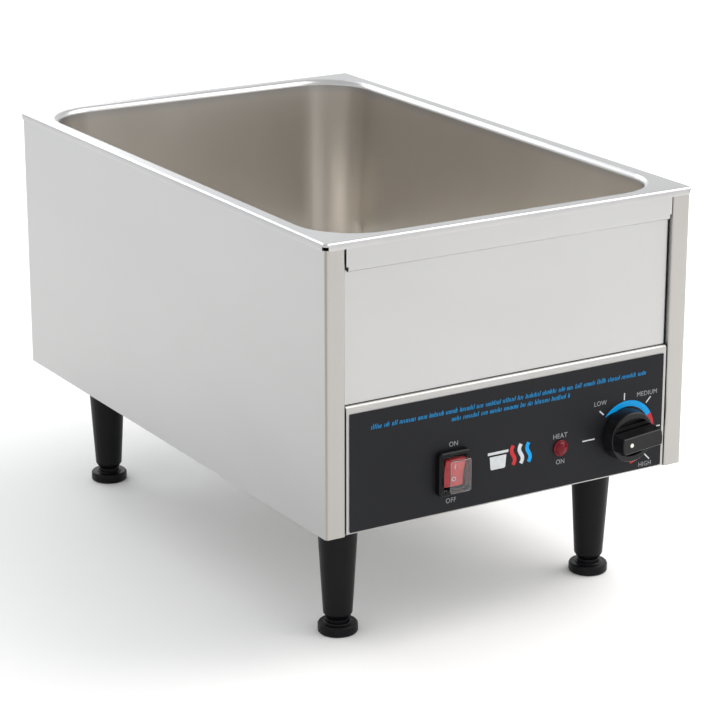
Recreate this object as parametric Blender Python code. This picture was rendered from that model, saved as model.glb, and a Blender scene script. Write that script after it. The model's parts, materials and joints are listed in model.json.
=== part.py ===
"""Countertop steam table unit: a full-size food warmer on four levelling legs.

Metres, +Z up, floor at z = 0. The control panel faces -Y, and X runs to the right as seen from there.
"""

import math

import bmesh
import bpy
from mathutils import Matrix, Vector

MM = 0.001

# Driving dimensions
BODY_WIDTH = 366 * MM
BODY_DEPTH = 575 * MM
BODY_HEIGHT = 252 * MM
LEG_HEIGHT = 115 * MM
SHEET = 1.0 * MM

SIDE = BODY_WIDTH / 2
FRONT = -BODY_DEPTH / 2
BACK = BODY_DEPTH / 2
CASE_BOTTOM = LEG_HEIGHT
DECK_TOP = LEG_HEIGHT + BODY_HEIGHT

# Well and deck, inset from the lip's outer face
RIM_OVERHANG = 1.4 * MM
LIP_HEIGHT = 6.6 * MM
LIP_BEND = 2.5 * MM
RIM_CORNER = 4.2 * MM
LIP_NOTCH = 5.4 * MM
DECK_EDGE = 10.15 * MM
WELL_ROLL = 5.5 * MM
WELL_CORNER = 50 * MM
WELL_DEPTH = 172 * MM
WELL_DRAFT = math.radians(1.7)
WELL_FLOOR_BEND = 16 * MM
WELL_FLOOR = DECK_TOP - WELL_DEPTH
WELL_UNDERSIDE = WELL_FLOOR - SHEET

# Casing and front
CASE_TOP = DECK_TOP - 2.2 * MM
CASE_FOLD = 3 * MM
FLANGE_INNER = 164.5 * MM
RETURN_DEPTH = 12 * MM
RAIL_HEIGHT = 26.5 * MM
PANEL_RECESS = 4.3 * MM
CONTROL_HEIGHT = 112.2 * MM
CONTROL_HALF = 163.2 * MM
CONTROL_RECESS = 0.8 * MM

# Controls, on the panel: X from the middle, height above the casing's bottom edge
SWITCH_X = -60.8 * MM
SWITCH_UP = 37.9 * MM
SWITCH_PIVOT = 4 * MM
SWITCH_TILT = math.radians(10)
LAMP_X = 51 * MM
LAMP_UP = 37.9 * MM
KNOB_X = 118.6 * MM
KNOB_UP = 39.2 * MM
KNOB_FRONT = 28.8 * MM
KNOB_REST = math.radians(5)
KNOB_DOT_OUT = 12 * MM
THERMOSTAT_SCREW_X = 14 * MM

# Legs
LEG_X = 133 * MM
LEG_Y = 222 * MM

# Base pan
BASE_LOW = CASE_BOTTOM + 1.7 * MM
BASE_TOP = BASE_LOW + SHEET
BASE_SCREW_X = 176.3 * MM
BASE_SCREW_Y = 160 * MM

# Heater stack, from the well's underside down
SPREADER_THICK = 3 * MM
SPREADER_TOP = WELL_UNDERSIDE - 0.4 * MM
SPREADER_LOW = SPREADER_TOP - SPREADER_THICK
ELEMENT_RADIUS = 4 * MM
ELEMENT_Z = SPREADER_LOW - 0.3 * MM - ELEMENT_RADIUS
ELEMENT_PITCH = 73.4 * MM
CLAMP_Y = 120 * MM
CLAMP_TOP = ELEMENT_Z - ELEMENT_RADIUS - 0.3 * MM
CLAMP_THICK = 3 * MM
SHIELD_LOW = SPREADER_LOW - 19.1 * MM
SHIELD_SHEET = 0.8 * MM
STUD_RADIUS = 2.5 * MM

# Cable entry, on the back
GLAND_X = 120 * MM
GLAND_UP = 45 * MM
GLAND_REACH = KNOB_FRONT

FACING_FRONT = (math.pi / 2, 0, 0)
FACING_BACK = (-math.pi / 2, 0, 0)


def clear_scene():
    for obj in list(bpy.data.objects):
        bpy.data.objects.remove(obj, do_unlink=True)


def material(name, colour, roughness, metallic=0.0, alpha=1.0):
    made = bpy.data.materials.new(name)
    made.use_nodes = True
    shader = made.node_tree.nodes["Principled BSDF"]
    shader.inputs["Base Color"].default_value = (*colour, 1)
    shader.inputs["Roughness"].default_value = roughness
    shader.inputs["Metallic"].default_value = metallic
    shader.inputs["Alpha"].default_value = alpha
    return made


def add_object(name, bm, finish, location=(0, 0, 0), rotation=(0, 0, 0), sharp=35):
    """A mesh object from a bmesh, its faces turned outward and its round faces smooth."""
    bmesh.ops.recalc_face_normals(bm, faces=bm.faces)
    mesh = bpy.data.meshes.new(name)
    bm.to_mesh(mesh)
    bm.free()
    mesh.materials.append(finish)
    mesh.shade_smooth()
    mesh.set_sharp_from_angle(angle=math.radians(sharp))
    obj = bpy.data.objects.new(name, mesh)
    obj.location = location
    obj.rotation_euler = rotation
    bpy.context.scene.collection.objects.link(obj)
    return obj


def as_tool(obj):
    """Marks a solid that only cuts or joins another."""
    obj.hide_render = True
    obj.display_type = "WIRE"
    return obj


def boolean(target, tool, operation="DIFFERENCE"):
    modifier = target.modifiers.new(tool.name, "BOOLEAN")
    modifier.object = tool
    modifier.operation = operation
    modifier.solver = "EXACT"


# Outlines


def rounded_ring(half_x, half_y, radius, height, steps=3):
    """A rounded rectangle at one height, anticlockwise from the middle of its +X side's upper corner."""
    ring = []
    for quarter in range(4):
        sign_x = (1, -1, -1, 1)[quarter]
        sign_y = (1, 1, -1, -1)[quarter]
        centre = Vector((sign_x * (half_x - radius), sign_y * (half_y - radius)))
        for step in range(steps + 1):
            angle = (quarter + step / steps) * math.pi / 2
            ring.append(
                Vector((centre.x + radius * math.cos(angle), centre.y + radius * math.sin(angle), height))
            )
    return ring


def circle_ring(radius, height, count=24, turn=0.0):
    """A circle at one height. turn shifts its points round by a share of their spacing."""
    ring = []
    for k in range(count):
        angle = (k + turn) * math.tau / count
        ring.append(Vector((radius * math.cos(angle), radius * math.sin(angle), height)))
    return ring


def hex_ring(across_flats, height, count=24):
    """A hexagon with the same number of points as a circle_ring, so that the two can be joined."""
    ring = []
    for k in range(count):
        angle = k * math.tau / count
        from_flat = (k % (count // 6)) * math.tau / count - math.pi / 6
        radius = across_flats / 2 / math.cos(from_flat)
        ring.append(Vector((radius * math.cos(angle), radius * math.sin(angle), height)))
    return ring


def rounded_path(corners, radii, steps=3):
    """Points along an open path of straight runs, with an arc of the given radius at each inner corner."""
    path = [Vector(corners[0])]
    for before, corner, after, radius in zip(corners, corners[1:], corners[2:], radii):
        corner = Vector(corner)
        arriving = (corner - Vector(before)).normalized()
        leaving = (Vector(after) - corner).normalized()
        turn = arriving.angle_signed(leaving)
        reach = radius * math.tan(abs(turn) / 2)
        start = corner - arriving * reach
        inward = Vector((-arriving.y, arriving.x))
        if arriving.cross(leaving) < 0:
            inward = -inward
        centre = start + inward * radius
        spoke = start - centre
        for step in range(steps + 1):
            share = step / steps
            swing = math.copysign(abs(turn) * share, arriving.cross(leaving))
            path.append(
                centre
                + Vector(
                    (
                        spoke.x * math.cos(swing) - spoke.y * math.sin(swing),
                        spoke.x * math.sin(swing) + spoke.y * math.cos(swing),
                    )
                )
            )
    path.append(Vector(corners[-1]))
    return path


def offset_path(path, distance):
    """The same path moved sideways, to its left where distance is positive."""
    moved = []
    for k, point in enumerate(path):
        runs = []
        if k > 0:
            runs.append((point - path[k - 1]).normalized())
        if k < len(path) - 1:
            runs.append((path[k + 1] - point).normalized())
        normals = [Vector((-run.y, run.x)) for run in runs]
        middle = sum(normals, Vector((0, 0))).normalized()
        moved.append(point + middle * distance / middle.dot(normals[0]))
    return moved


# Solids


def loft(bm, rings, closed=False):
    """Joins rings of equal length; the last joins the first where closed, otherwise both ends are capped."""
    loops = [[bm.verts.new(point) for point in ring] for ring in rings]
    pairs = list(zip(loops, loops[1:]))
    if closed:
        pairs.append((loops[-1], loops[0]))
    for low, high in pairs:
        for k in range(len(low)):
            after = (k + 1) % len(low)
            bm.faces.new((low[k], low[after], high[after], high[k]))
    if not closed:
        bm.faces.new(list(reversed(loops[0])))
        bm.faces.new(loops[-1])


def lofted(name, rings, finish, closed=False, **place):
    bm = bmesh.new()
    loft(bm, rings, closed)
    return add_object(name, bm, finish, **place)


def turned(name, profile, finish, segments=24, **place):
    """A solid of revolution about Z. Profile points are (radius, height); it ends on the axis or goes round a bore."""
    bm = bmesh.new()
    points = [bm.verts.new((radius, 0, height)) for radius, height in profile]
    edges = [bm.edges.new(pair) for pair in zip(points, points[1:])]
    if profile[0][0] > 0:
        edges.append(bm.edges.new((points[-1], points[0])))
    bmesh.ops.spin(
        bm, geom=points + edges, cent=(0, 0, 0), axis=(0, 0, 1), angle=math.tau, steps=segments, use_merge=True
    )
    bmesh.ops.remove_doubles(bm, verts=bm.verts, dist=1e-6)
    return add_object(name, bm, finish, **place)


def folded_sheet(name, path, thickness, low, high, finish, along_x=False):
    """A sheet bent along a path and run out between low and high: along Z, or along X where the path is in YZ."""
    far_side = offset_path(path, thickness)
    rings = []
    for near, far in zip(path, far_side):
        if along_x:
            ring = [(low, *near), (low, *far), (high, *far), (high, *near)]
        else:
            ring = [(*near, low), (*far, low), (*far, high), (*near, high)]
        rings.append([Vector(point) for point in ring])
    return lofted(name, rings, finish)


def add_block(bm, low, high):
    corners = [Vector((x, y, z)) for z in (low[2], high[2]) for x, y in (
        (low[0], low[1]), (high[0], low[1]), (high[0], high[1]), (low[0], high[1]))]
    loft(bm, [corners[:4], corners[4:]])


def blocks(name, ranges, finish):
    """Separate boxes in one tool, each from its low corner to its high corner."""
    bm = bmesh.new()
    for low, high in ranges:
        add_block(bm, low, high)
    return as_tool(add_object(name, bm, finish))


def rods(name, ends, radius, finish, count=16):
    """Separate round rods in one tool, each from one end to the other."""
    bm = bmesh.new()
    for start, end in ends:
        start = Vector(start)
        along = Vector(end) - start
        turn = Vector((0, 0, 1)).rotation_difference(along)
        ring = [start + turn @ point for point in circle_ring(radius, 0, count)]
        loft(bm, [ring, [point + along for point in ring]])
    return as_tool(add_object(name, bm, finish))


def smooth_route(points, steps=4):
    """Points read from a smooth curve through the given ones."""
    knots = [Vector(point) for point in points]
    knots = [2 * knots[0] - knots[1], *knots, 2 * knots[-1] - knots[-2]]
    route = []
    for a, b, c, d in zip(knots, knots[1:], knots[2:], knots[3:]):
        for step in range(steps):
            t = step / steps
            route.append(
                0.5 * (2 * b + (c - a) * t + (2 * a - 5 * b + 4 * c - d) * t**2 + (3 * b - a - 3 * c + d) * t**3)
            )
    route.append(knots[-2])
    return route


def tube(name, route, radius, finish, sides=2):
    """A round tube along a route. sides is the curve's bevel resolution."""
    curve = bpy.data.curves.new(name, "CURVE")
    curve.dimensions = "3D"
    curve.bevel_depth = radius
    curve.bevel_resolution = sides
    curve.use_fill_caps = True
    spline = curve.splines.new("POLY")
    spline.points.add(len(route) - 1)
    for point, place in zip(spline.points, route):
        point.co = (*place, 1)
    curve.materials.append(finish)
    obj = bpy.data.objects.new(name, curve)
    bpy.context.scene.collection.objects.link(obj)
    return obj


def hex_nut(name, across_flats, bore, low, high, finish, **place):
    rings = [
        circle_ring(bore, low, 12),
        hex_ring(across_flats, low, 12),
        hex_ring(across_flats, high, 12),
        circle_ring(bore, high, 12),
    ]
    return lofted(name, rings, finish, closed=True, **place)


def on_panel(x, up):
    """Where a control sits: its local +Z points out of the panel, from the flanges' front plane."""
    return {"location": (x, FRONT, CASE_BOTTOM + up), "rotation": FACING_FRONT}


# Sub-parts


def well_stations():
    """Visible side of the well's section: (inset, z, normal towards the inside, normal upwards)."""
    stations = [(0, DECK_TOP - LIP_HEIGHT, -1, 0)]
    for step in range(4):
        angle = math.pi - step / 3 * math.pi / 2
        stations.append(
            (
                LIP_BEND + LIP_BEND * math.cos(angle),
                DECK_TOP - LIP_BEND + LIP_BEND * math.sin(angle),
                math.cos(angle),
                math.sin(angle),
            )
        )
    for step in range(5):
        angle = math.pi / 2 + step / 4 * (WELL_DRAFT - math.pi / 2)
        stations.append(
            (
                DECK_EDGE + WELL_ROLL * math.cos(angle),
                DECK_TOP - WELL_ROLL + WELL_ROLL * math.sin(angle),
                math.cos(angle),
                math.sin(angle),
            )
        )
    wall_inset, wall_top = stations[-1][:2]
    wall_low = WELL_FLOOR + WELL_FLOOR_BEND * (1 - math.sin(WELL_DRAFT))
    bend_inset = wall_inset + (wall_top - wall_low) * math.tan(WELL_DRAFT) + WELL_FLOOR_BEND * math.cos(WELL_DRAFT)
    for step in range(6):
        angle = WELL_DRAFT + step / 5 * (math.pi / 2 - WELL_DRAFT)
        stations.append(
            (
                bend_inset - WELL_FLOOR_BEND * math.cos(angle),
                WELL_FLOOR + WELL_FLOOR_BEND * (1 - math.sin(angle)),
                math.cos(angle),
                math.sin(angle),
            )
        )
    return stations


def well_ring(inset, z, thickness, normal_in, normal_up):
    """One ring of the well at a station, pushed back from the visible side by a thickness."""
    in_well = inset >= DECK_EDGE - 1e-6
    corner = WELL_CORNER + DECK_EDGE + WELL_ROLL - inset if in_well else RIM_CORNER - inset
    inset -= thickness * normal_in
    corner += thickness * normal_in
    half_x = SIDE + RIM_OVERHANG - inset
    half_y = BACK + RIM_OVERHANG - inset
    return rounded_ring(half_x, half_y, corner, z - thickness * normal_up, steps=7)


def make_well(steel):
    stations = well_stations()
    visible = [well_ring(inset, z, 0, a, b) for inset, z, a, b in stations]
    hidden = [well_ring(inset, z, SHEET, a, b) for inset, z, a, b in stations]
    well = lofted("well_pan", hidden[::-1] + visible, steel)
    notch_low = DECK_TOP - LIP_HEIGHT - 4 * MM
    notch_top = DECK_TOP - LIP_BEND - 0.4 * MM
    boolean(well, corner_notches("cut_lip_notches", notch_low, notch_top, steel))


def corner_notches(name, low, top, finish):
    """Cutter for a slot across each corner of the rim, where the lip and the casing stay open."""
    bm = bmesh.new()
    for sign_x in (-1, 1):
        for sign_y in (-1, 1):
            turn = math.atan2(sign_y, sign_x) - math.pi / 2
            corner = Vector((sign_x * (SIDE + RIM_OVERHANG), sign_y * (BACK + RIM_OVERHANG), 0))
            half = LIP_NOTCH / 2
            outline = [(-half, -10 * MM), (half, -10 * MM), (half, 4 * MM), (-half, 4 * MM)]
            turned_out = Matrix.Rotation(turn, 3, "Z")
            loft(bm, [[corner + turned_out @ Vector((x, y, z)) for x, y in outline] for z in (low, top)])
    return as_tool(add_object(name, bm, finish))


def make_casing(steel):
    wrap = rounded_path(
        [
            (-FLANGE_INNER, FRONT + RETURN_DEPTH),
            (-FLANGE_INNER, FRONT),
            (-SIDE, FRONT),
            (-SIDE, BACK),
            (SIDE, BACK),
            (SIDE, FRONT),
            (FLANGE_INNER, FRONT),
            (FLANGE_INNER, FRONT + RETURN_DEPTH),
        ],
        [1.6 * MM, CASE_FOLD, CASE_FOLD, CASE_FOLD, CASE_FOLD, 1.6 * MM],
    )
    casing = folded_sheet("outer_casing", wrap, -SHEET, CASE_BOTTOM, CASE_TOP, steel)
    # Bottom flanges, folded inward along each wall, stop short of the corners
    flange_low = CASE_BOTTOM + 0.15 * MM
    flange_top = flange_low + SHEET
    reach = 13 * MM
    corner_gap = 9 * MM
    in_wall = 0.5 * MM
    flanges = [
        ((-SIDE + corner_gap, BACK - reach, flange_low), (SIDE - corner_gap, BACK - in_wall, flange_top))
    ]
    for sign in (-1, 1):
        x_ends = sorted((sign * (SIDE - in_wall), sign * (SIDE - reach)))
        flanges.append(
            (
                (x_ends[0], FRONT + reach + 1 * MM, flange_low),
                (x_ends[1], BACK - reach - 1 * MM, flange_top),
            )
        )
        x_ends = sorted((sign * (SIDE - 6 * MM), sign * (FLANGE_INNER + 2.2 * MM)))
        flanges.append(
            ((x_ends[0], FRONT + in_wall, flange_low), (x_ends[1], FRONT + reach - 1 * MM, flange_top))
        )
    boolean(casing, blocks("join_bottom_flanges", flanges, steel), "UNION")
    boolean(casing, corner_notches("cut_case_notches", DECK_TOP - LIP_HEIGHT + 0.6 * MM, DECK_TOP, steel))
    return casing


def make_front(steel):
    rail_low = DECK_TOP - RAIL_HEIGHT
    rail_path = rounded_path(
        [(FRONT, CASE_TOP), (FRONT, rail_low), (FRONT + 3.6 * MM, rail_low)], [1.6 * MM]
    )
    rail_half = FLANGE_INNER - 1.2 * MM
    rail = folded_sheet("front_top_rail", rail_path, SHEET, -rail_half, rail_half, steel, along_x=True)
    notches = [
        (
            (min(sign * rail_half, sign * (rail_half - 1.9 * MM)) - (sign < 0) * MM, FRONT - MM, rail_low - MM),
            (max(sign * rail_half, sign * (rail_half - 1.9 * MM)) + (sign > 0) * MM, FRONT + 5 * MM, rail_low + 4.4 * MM),
        )
        for sign in (-1, 1)
    ]
    boolean(rail, blocks("cut_rail_notches", notches, steel))

    panel_half = FLANGE_INNER - 0.9 * MM
    panel_y = FRONT + PANEL_RECESS
    panel_path = rounded_path(
        [
            (-panel_half, panel_y + RETURN_DEPTH),
            (-panel_half, panel_y),
            (panel_half, panel_y),
            (panel_half, panel_y + RETURN_DEPTH),
        ],
        [1.6 * MM, 1.6 * MM],
    )
    folded_sheet(
        "front_upper_panel", panel_path, SHEET, CASE_BOTTOM + CONTROL_HEIGHT + 0.6 * MM, DECK_TOP - 6 * MM, steel
    )


def make_control_panel(steel, black):
    face = FRONT + CONTROL_RECESS
    low = CASE_BOTTOM + 0.4 * MM
    top = CASE_BOTTOM + CONTROL_HEIGHT
    tray_depth = 14 * MM
    path = rounded_path(
        [(face + tray_depth, top), (face, top), (face, low), (face + tray_depth, low)], [3 * MM, 1.6 * MM]
    )
    tray = folded_sheet("control_panel", path, SHEET, -CONTROL_HALF, CONTROL_HALF, steel, along_x=True)
    ends = []
    for sign in (-1, 1):
        x_ends = sorted((sign * (CONTROL_HALF - 0.2 * MM), sign * (CONTROL_HALF - 1.2 * MM)))
        ends.append(
            ((x_ends[0], face + 0.5 * MM, low + 4 * MM), (x_ends[1], face + 12 * MM, top - 6 * MM))
        )
    boolean(tray, blocks("join_tray_ends", ends, steel), "UNION")

    label_low = CASE_BOTTOM + 2.2 * MM
    label_top = CASE_BOTTOM + 105.2 * MM
    half_height = (label_top - label_low) / 2
    rings = [rounded_ring(160.3 * MM, half_height, 1 * MM, z) for z in (-0.5 * MM, -0.1 * MM)]
    overlay = lofted(
        "control_overlay", rings, black, location=(0, FRONT, (label_low + label_top) / 2), rotation=FACING_FRONT
    )

    # Openings through the tray and its overlay
    front_end = FRONT - 2 * MM
    back_end = FRONT + 5 * MM
    switch_z = CASE_BOTTOM + SWITCH_UP
    switch_hole = blocks(
        "cut_switch_opening",
        [
            (
                (SWITCH_X - 11.6 * MM, front_end, switch_z - 14.6 * MM),
                (SWITCH_X + 11.6 * MM, back_end, switch_z + 14.6 * MM),
            )
        ],
        steel,
    )
    round_holes = (
        ("cut_lamp_hole", [LAMP_X], LAMP_UP, 5.3 * MM),
        ("cut_shaft_hole", [KNOB_X], KNOB_UP, 5.0 * MM),
        ("cut_thermostat_screws", [KNOB_X - THERMOSTAT_SCREW_X, KNOB_X + THERMOSTAT_SCREW_X], KNOB_UP, 2.3 * MM),
    )
    tools = [switch_hole]
    for name, places, up, radius in round_holes:
        ends = [((x, front_end, CASE_BOTTOM + up), (x, back_end, CASE_BOTTOM + up)) for x in places]
        tools.append(rods(name, ends, radius, steel))
    for tool in tools:
        boolean(tray, tool)
        boolean(overlay, tool)


def make_switch(black, clear, red):
    place = on_panel(SWITCH_X, SWITCH_UP)
    outer = (15.85 * MM, 19.4 * MM, 3.5 * MM)
    window = (11.4 * MM, 15.8 * MM, 2 * MM)
    chamfer = 1.2 * MM
    frame_rings = [
        rounded_ring(*window, 0.3 * MM),
        rounded_ring(*outer, 0.3 * MM),
        rounded_ring(*outer, 6.8 * MM - chamfer),
        rounded_ring(outer[0] - chamfer, outer[1] - chamfer, outer[2] - chamfer, 6.8 * MM),
        rounded_ring(*window, 6.8 * MM),
    ]
    lofted("switch_frame", frame_rings, black, closed=True, **place)

    body = (10.75 * MM, 14.2 * MM, 0.8 * MM)
    flange = (11.05 * MM, 15.45 * MM, 1.6 * MM)
    pocket = (10.05 * MM, 13.5 * MM, 0.5 * MM)
    body_rings = [
        rounded_ring(*body, -22 * MM),
        rounded_ring(*body, 0.3 * MM),
        rounded_ring(*flange, 0.3 * MM),
        rounded_ring(*flange, 4.6 * MM),
        rounded_ring(*pocket, 4.6 * MM),
        rounded_ring(*pocket, -11 * MM),
    ]
    lofted("switch_body", body_rings, black, **place)

    # The cover narrows towards its front
    foot = (11.0 * MM, 15.4 * MM, 2 * MM)
    front = (10.6 * MM, 14.4 * MM, 2 * MM)
    wall = 0.9 * MM

    def inside(outline):
        return tuple(size - wall for size in outline)

    cover_rings = [
        rounded_ring(*inside(front), 14.0 * MM),
        rounded_ring(*inside(foot), 6.8 * MM),
        rounded_ring(*inside(foot), 4.9 * MM),
        rounded_ring(*foot, 4.9 * MM),
        rounded_ring(*foot, 6.8 * MM),
        rounded_ring(*front, 14.4 * MM),
        rounded_ring(front[0] - 0.5 * MM, front[1] - 0.5 * MM, front[2] - 0.5 * MM, 14.9 * MM),
    ]
    lofted("switch_cover", cover_rings, clear, **place)

    # The rocker turns about X. At rest its lower end is pressed in.
    half_width = 9.7 * MM
    face = [(12.6, 1.6), (6.2, 0.5), (0, 0.1), (-6.2, 0.5), (-12.6, 1.6)]
    hidden = [(-12.6, -4), (-5, -11), (5, -11), (12.6, -4)]
    rings = [[Vector((x, y * MM, z * MM)) for y, z in face + hidden] for x in (-half_width, half_width)]
    lofted(
        "switch_rocker",
        rings,
        red,
        location=(SWITCH_X, FRONT - SWITCH_PIVOT, CASE_BOTTOM + SWITCH_UP),
        rotation=(math.pi / 2 + SWITCH_TILT, 0, 0),
    )


def make_lamp(red, black, metal):
    place = on_panel(LAMP_X, LAMP_UP)
    dome = [(6.1 * math.sin(a), 1.7 + 3.2 * math.cos(a)) for a in [k * math.pi / 10 for k in range(6)]]
    lens = dome + [(7.1, 1.6), (7.4, 1.2), (7.4, 0.3), (4.0, 0.3), (4.0, -4), (0, -4)]
    turned("lamp_lens", [(r * MM, h * MM) for r, h in lens], red, segments=20, **place)
    body = [(0, -20), (4.9, -20), (4.9, 0), (4.35, 0), (4.35, -5), (0, -5)]
    turned("lamp_body", [(r * MM, h * MM) for r, h in body], black, segments=16, **place)
    hex_nut("lamp_nut", 14 * MM, 5.3 * MM, -5.2 * MM, -2.2 * MM, metal, **place)


def make_thermostat(black, steel, body_finish, copper):
    place = on_panel(KNOB_X, KNOB_UP)

    # Knob: a hollow disc with a grip bar right across it
    disc_front = 14
    disc = [
        (0, 11.5),
        (3.4, 11.5),
        (3.4, 1.2),
        (6.5, 1.2),
        (6.5, 4.5),
        (20.3, 4.5),
        (20.5, 0.9),
        (23.3, 0.9),
        (23.3, 3.0),
        (22.4, disc_front - 0.7),
        (21.7, disc_front),
        (0, disc_front),
    ]
    turning = {"location": place["location"], "rotation": (math.pi / 2, -KNOB_REST, 0)}
    knob = turned("thermostat_knob", [(r * MM, h * MM) for r, h in disc], black, segments=36, **turning)

    def grip_ring(half_width, radius, height):
        reach = math.asin(half_width / radius)
        ring = []
        for middle in (0, math.pi):
            for step in range(5):
                angle = middle - reach + step / 4 * 2 * reach
                ring.append(Vector((radius * math.cos(angle), radius * math.sin(angle), height)) * MM)
        return ring

    front = KNOB_FRONT / MM
    grip_rings = [grip_ring(7.95, 21.4, disc_front - 1.2), grip_ring(7.2, 21.1, front - 0.7), grip_ring(6.6, 20.4, front)]
    boolean(knob, as_tool(lofted("join_knob_grip", grip_rings, black, **turning)), "UNION")
    # Beside the bar: a groove at its foot, a thin slot, and a deep pocket under a shallow arc
    pocket_edge = 11.6
    pocket_top = 17.2
    pocket_half = 15.6
    sagitta = pocket_top - pocket_edge
    pocket_radius = (sagitta**2 + pocket_half**2) / (2 * sagitta)
    reach = math.asin(pocket_half / pocket_radius)
    deep = disc_front - 4.5
    bm = bmesh.new()
    for side in (1, -1):
        pocket = []
        for step in range(9):
            angle = reach - step / 8 * 2 * reach
            rise = pocket_top - pocket_radius * (1 - math.cos(angle))
            pocket.append((pocket_radius * math.sin(angle), side * rise))
        cuts = [(pocket, deep)]
        for half, low, high, floor in ((18.2, 7.9, 8.9, deep), (15.0, 10.0, 10.4, disc_front - 0.7)):
            cuts.append(([(half, side * low), (half, side * high), (-half, side * high), (-half, side * low)], floor))
        for shape, floor in cuts:
            if side < 0:
                shape.reverse()
            loft(bm, [[Vector((x, y, h)) * MM for x, y in shape] for h in (floor, disc_front + 2)])
    # A round seat for the white dot near the bar's pointer end
    aside = Vector((KNOB_DOT_OUT, 0, 0))
    loft(bm, [[p - aside for p in circle_ring(2 * MM, h * MM, 16)] for h in (front - 0.35, front + 2)])
    boolean(knob, as_tool(add_object("cut_knob_pockets", bm, black, **turning)))

    # The shaft is round behind the panel and has a flat inside the knob
    def shaft_ring(height, flat):
        ring = circle_ring(3 * MM, height, 16)
        return [Vector((min(point.x, flat), point.y, point.z)) for point in ring]

    shaft_rings = [
        shaft_ring(-11 * MM, 3 * MM),
        shaft_ring(0.5 * MM, 3 * MM),
        shaft_ring(1.0 * MM, 1.9 * MM),
        shaft_ring(11.1 * MM, 1.9 * MM),
    ]
    lofted("thermostat_shaft", shaft_rings, steel, **turning)

    can = (18 * MM, 17 * MM, 2 * MM)
    steps = 3
    count = 4 * (steps + 1)
    body_rings = [
        rounded_ring(*can, -24 * MM, steps),
        rounded_ring(*can, -2.2 * MM, steps),
        circle_ring(4.6 * MM, -2.2 * MM, count, 0.5),
        circle_ring(4.6 * MM, -0.2 * MM, count, 0.5),
        circle_ring(3.4 * MM, -0.2 * MM, count, 0.5),
        circle_ring(3.4 * MM, -12 * MM, count, 0.5),
    ]
    body = lofted("thermostat_body", body_rings, body_finish, **place)
    z = CASE_BOTTOM + KNOB_UP
    screw_x = [KNOB_X - THERMOSTAT_SCREW_X, KNOB_X + THERMOSTAT_SCREW_X]
    ends = [((x, FRONT, z), (x, FRONT + 10 * MM, z)) for x in screw_x]
    boolean(body, rods("cut_body_screws", ends, 2.3 * MM, steel, count=12))
    screw = [(0, 2.2), (2.4, 2.2), (3.4, 1.2), (3.4, 0.25), (1.9, 0.25), (1.9, -8), (0, -8)]
    for side, x in zip(("left", "right"), screw_x):
        turned(
            f"thermostat_screw_{side}", [(r * MM, h * MM) for r, h in screw], steel, segments=12, **on_panel(x, KNOB_UP)
        )

    # The capillary climbs to the heater, passes under its front bend and joins the bulb
    bulb_x = 14 * MM
    bulb_z = ELEMENT_Z + 0.2 * MM
    body_back = FRONT + 24.4 * MM
    capillary = smooth_route(
        [
            (KNOB_X + 8 * MM, body_back, z + 8 * MM),
            (KNOB_X + 8 * MM, body_back + 8 * MM, z + 10 * MM),
            (KNOB_X - 6 * MM, body_back + 16 * MM, z + 22 * MM),
            (80 * MM, -238 * MM, bulb_z - 10.5 * MM),
            (30 * MM, -234 * MM, bulb_z - 7.3 * MM),
            (bulb_x, -222 * MM, bulb_z - 7.1 * MM),
            (bulb_x, -205 * MM, bulb_z - 6.9 * MM),
            (bulb_x, -188 * MM, bulb_z - 6.3 * MM),
            (bulb_x, -168 * MM, bulb_z),
            (bulb_x, -140 * MM, bulb_z),
            (bulb_x, -103 * MM, bulb_z),
        ]
    )
    tube("thermostat_capillary", capillary, 1 * MM, copper, sides=1)
    bulb = [(0, 0), (2.2, 0), (3.2, 1.2), (3.2, 88), (2.2, 90), (0, 90)]
    turned(
        "thermostat_bulb",
        [(r * MM, h * MM) for r, h in bulb],
        copper,
        segments=12,
        location=(bulb_x, -102.5 * MM, bulb_z),
        rotation=FACING_BACK,
    )


def element_route():
    """A flat W: two outer legs that end at the front, and three half-turn bends."""
    bend = ELEMENT_PITCH / 2
    back_y = 175 * MM
    front_y = -165 * MM
    xs = [(k - 1.5) * ELEMENT_PITCH for k in range(4)]
    route = [Vector((xs[0], -235 * MM, ELEMENT_Z))]
    for k in range(3):
        at_back = k % 2 == 0
        y = back_y if at_back else front_y
        centre = Vector(((xs[k] + xs[k + 1]) / 2, y, ELEMENT_Z))
        for step in range(9):
            angle = math.pi - step / 8 * math.pi
            rise = bend * math.sin(angle) * (1 if at_back else -1)
            route.append(centre + Vector((bend * math.cos(angle), rise, 0)))
    route.append(Vector((xs[3], -235 * MM, ELEMENT_Z)))
    return route


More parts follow.
